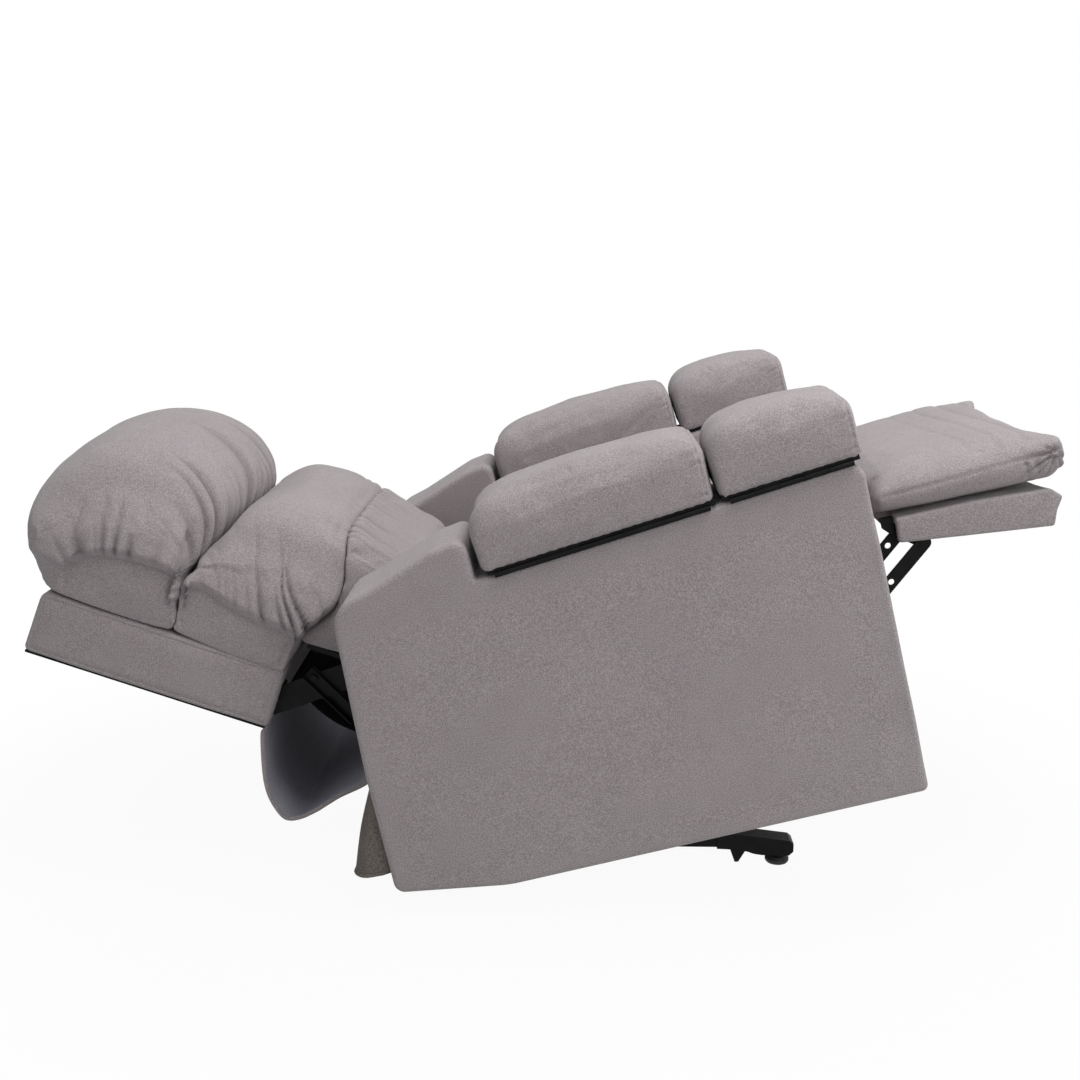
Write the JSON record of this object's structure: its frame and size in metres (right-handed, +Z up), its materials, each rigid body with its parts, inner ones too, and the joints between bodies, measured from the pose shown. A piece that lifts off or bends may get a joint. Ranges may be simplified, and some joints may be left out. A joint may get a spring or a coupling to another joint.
{
  "type": "lift recliner chair",
  "caption": "Upholstered power lift recliner with reclining back, folding pantograph footrest, tilting and lifting base, and padded arm lids.",
  "frame": {"origin": "centre of the chair's length and width, on the floor plane under the levelling feet, with the chair tilted back, reclined and the footrest out", "axes": "+X the way the sitter looks, +Y to the sitter's left, +Z up"},
  "size_m": [1.6576, 0.876, 0.8131],
  "materials": {
    "steel_black": "satin black powder coat",
    "cloth": "heathered taupe grey woven upholstery",
    "motor_grey": "dark grey moulded housing",
    "rod_steel": "ground steel rod",
    "spring_steel": "spring wire",
    "wood": "raw plywood and pine",
    "liner": "dark moulded liner",
    "foot_rubber": "matt black glide"
  },
  "bodies": {
    "base": {"base_frame": "steel_black", "front_foot_brackets": "steel_black", "levelling_feet": "foot_rubber"},
    "lift_arms": {"lift_arms": "steel_black"},
    "front_lift_links": {"front_lift_links": "steel_black"},
    "lift_frame": {"lift_frame": "steel_black"},
    "lift_motor": {"lift_motor": "motor_grey"},
    "lift_rod": {"lift_rod": "rod_steel"},
    "tilt_motor": {"tilt_motor": "motor_grey"},
    "tilt_rod": {"tilt_rod": "rod_steel"},
    "chassis": {"chassis_plates": "steel_black", "cross_members": "steel_black", "tilt_lever": "steel_black", "actuator_seats": "steel_black", "seat_box": "wood", "seat_springs": "spring_steel", "seat_cushion": "cloth", "control_box": "motor_grey", "rear_rail": "wood", "rear_skirt": "cloth", "rear_flap": "cloth", "arm_right": "cloth", "arm_left": "cloth", "tray_right": "liner", "tray_left": "liner", "cup_holder_right": "liner", "cup_holder_left": "liner", "hinge_leaves_right": "steel_black", "hinge_leaves_left": "steel_black"},
    "backrest": {"back_frame": "steel_black", "back_box": "cloth", "head_pillow": "cloth", "middle_cushion": "cloth", "lumbar_cushion": "cloth"},
    "recline_motor": {"recline_motor": "motor_grey"},
    "recline_rod": {"recline_rod": "rod_steel"},
    "inner_links": {"inner_links": "steel_black"},
    "outer_links": {"outer_links": "steel_black"},
    "guide_links": {"guide_links": "steel_black"},
    "support_links": {"support_links": "steel_black"},
    "ottoman": {"ottoman_brackets": "steel_black", "footrest_board": "cloth", "foot_pad": "cloth"},
    "footrest_motor": {"footrest_motor": "motor_grey"},
    "footrest_rod": {"footrest_rod": "rod_steel"},
    "rear_lid_right": {"rear_lid_board_right": "steel_black", "rear_pad_right": "cloth"},
    "rear_lid_left": {"rear_lid_board_left": "steel_black", "rear_pad_left": "cloth"},
    "front_lid_right": {"front_lid_board_right": "steel_black", "front_pad_right": "cloth"},
    "front_lid_left": {"front_lid_board_left": "steel_black", "front_pad_left": "cloth"}
  },
  "joints": [
    {"name": "lift", "type": "hinge", "parent": "base", "child": "lift_arms", "pos_m": [0.25037, 0, 0.105], "axis": [0, 1, 0], "range_deg": [0, 50]},
    {"name": "lift_tip", "type": "hinge", "parent": "lift_arms", "child": "lift_frame", "pos_m": [-0.10963, 0, 0.12], "axis": [0, 1, 0], "range_deg": [-26.1, 0]},
    {"name": "lift_front_link", "type": "hinge", "parent": "base", "child": "front_lift_links", "pos_m": [0.28237, 0, 0.09], "axis": [0, 1, 0], "range_deg": [0, 55]},
    {"name": "lift_motor_swing", "type": "hinge", "parent": "base", "child": "lift_motor", "pos_m": [-0.06963, 0, 0.075], "axis": [0, 1, 0], "range_deg": [0, 4.95]},
    {"name": "lift_stroke", "type": "slide", "parent": "lift_motor", "child": "lift_rod", "axis": [0.9035, 0, 0.4285], "range_m": [0, 0.0895]},
    {"name": "tilt", "type": "hinge", "parent": "lift_frame", "child": "chassis", "pos_m": [-0.14963, 0, 0.12], "axis": [0, 1, 0], "range_deg": [0, 14]},
    {"name": "tilt_motor_swing", "type": "hinge", "parent": "lift_frame", "child": "tilt_motor", "pos_m": [0.34037, 0, 0.172], "axis": [0, 1, 0], "range_deg": [0, 0.25]},
    {"name": "tilt_stroke", "type": "slide", "parent": "tilt_motor", "child": "tilt_rod", "axis": [-0.9548, 0, 0.2974], "range_m": [-0.0481, 0]},
    {"name": "recline", "type": "hinge", "parent": "chassis", "child": "backrest", "pos_m": [-0.19749, 0, 0.37396], "axis": [0, 1, 0], "range_deg": [0, 45]},
    {"name": "recline_motor_swing", "type": "hinge", "parent": "chassis", "child": "recline_motor", "pos_m": [0.19491, 0, 0.32958], "axis": [0, 1, 0], "range_deg": [0, 3.85]},
    {"name": "recline_stroke", "type": "slide", "parent": "recline_motor", "child": "recline_rod", "axis": [-0.9934, 0, -0.1151], "range_m": [0, 0.0637]},
    {"name": "footrest", "type": "hinge", "parent": "chassis", "child": "inner_links", "pos_m": [0.33129, 0, 0.45221], "axis": [0, 1, 0], "range_deg": [0, 88]},
    {"name": "footrest_outer", "type": "hinge", "parent": "inner_links", "child": "outer_links", "pos_m": [0.45496, 0, 0.4109], "axis": [0, 1, 0], "range_deg": [-88, 0]},
    {"name": "footrest_board", "type": "hinge", "parent": "outer_links", "child": "ottoman", "pos_m": [0.57487, 0, 0.57066], "axis": [0, 1, 0], "range_deg": [0, 88]},
    {"name": "footrest_guide", "type": "hinge", "parent": "chassis", "child": "guide_links", "pos_m": [0.30119, 0, 0.41173], "axis": [0, 1, 0], "range_deg": [0, 88]},
    {"name": "footrest_support", "type": "hinge", "parent": "inner_links", "child": "support_links", "pos_m": [0.49424, 0, 0.39802], "axis": [0, 1, 0], "range_deg": [-88, 0]},
    {"name": "footrest_motor_swing", "type": "hinge", "parent": "chassis", "child": "footrest_motor", "pos_m": [0.07655, 0, 0.32892], "axis": [0, 1, 0], "range_deg": [0, 2.3]},
    {"name": "footrest_stroke", "type": "slide", "parent": "footrest_motor", "child": "footrest_rod", "axis": [0.945, 0, 0.3272], "range_m": [-0.0645, 0]},
    {"name": "rear_lid_right", "type": "hinge", "parent": "chassis", "child": "rear_lid_right", "pos_m": [-0.07078, -0.434, 0.54366], "axis": [0.9504, 0, 0.311], "range_deg": [0, 95]},
    {"name": "front_lid_right", "type": "hinge", "parent": "chassis", "child": "front_lid_right", "pos_m": [-0.07078, -0.434, 0.54366], "axis": [0.9504, 0, 0.311], "range_deg": [0, 95]},
    {"name": "rear_lid_left", "type": "hinge", "parent": "chassis", "child": "rear_lid_left", "pos_m": [-0.07078, 0.434, 0.54366], "axis": [-0.9504, 0, -0.311], "range_deg": [0, 95]},
    {"name": "front_lid_left", "type": "hinge", "parent": "chassis", "child": "front_lid_left", "pos_m": [-0.07078, 0.434, 0.54366], "axis": [-0.9504, 0, -0.311], "range_deg": [0, 95]}
  ],
  "couplings": [
    {"joint": "lift_tip", "follows": "lift", "ratio": -0.52},
    {"joint": "lift_front_link", "follows": "lift", "ratio": 1.0984},
    {"joint": "lift_motor_swing", "follows": "lift", "ratio": 0.0977},
    {"joint": "lift_stroke", "follows": "lift", "m_per_rad": 0.10227},
    {"joint": "tilt_motor_swing", "follows": "tilt", "ratio": 0.0141},
    {"joint": "tilt_stroke", "follows": "tilt", "m_per_rad": -0.19648},
    {"joint": "recline_motor_swing", "follows": "recline", "ratio": 0.0842},
    {"joint": "recline_stroke", "follows": "recline", "m_per_rad": 0.08088},
    {"joint": "footrest_outer", "follows": "footrest", "ratio": -1},
    {"joint": "footrest_board", "follows": "footrest", "ratio": 1},
    {"joint": "footrest_guide", "follows": "footrest", "ratio": 1},
    {"joint": "footrest_support", "follows": "footrest", "ratio": -1},
    {"joint": "footrest_motor_swing", "follows": "footrest", "ratio": 0.0257},
    {"joint": "footrest_stroke", "follows": "footrest", "m_per_rad": -0.04185}
  ]
}
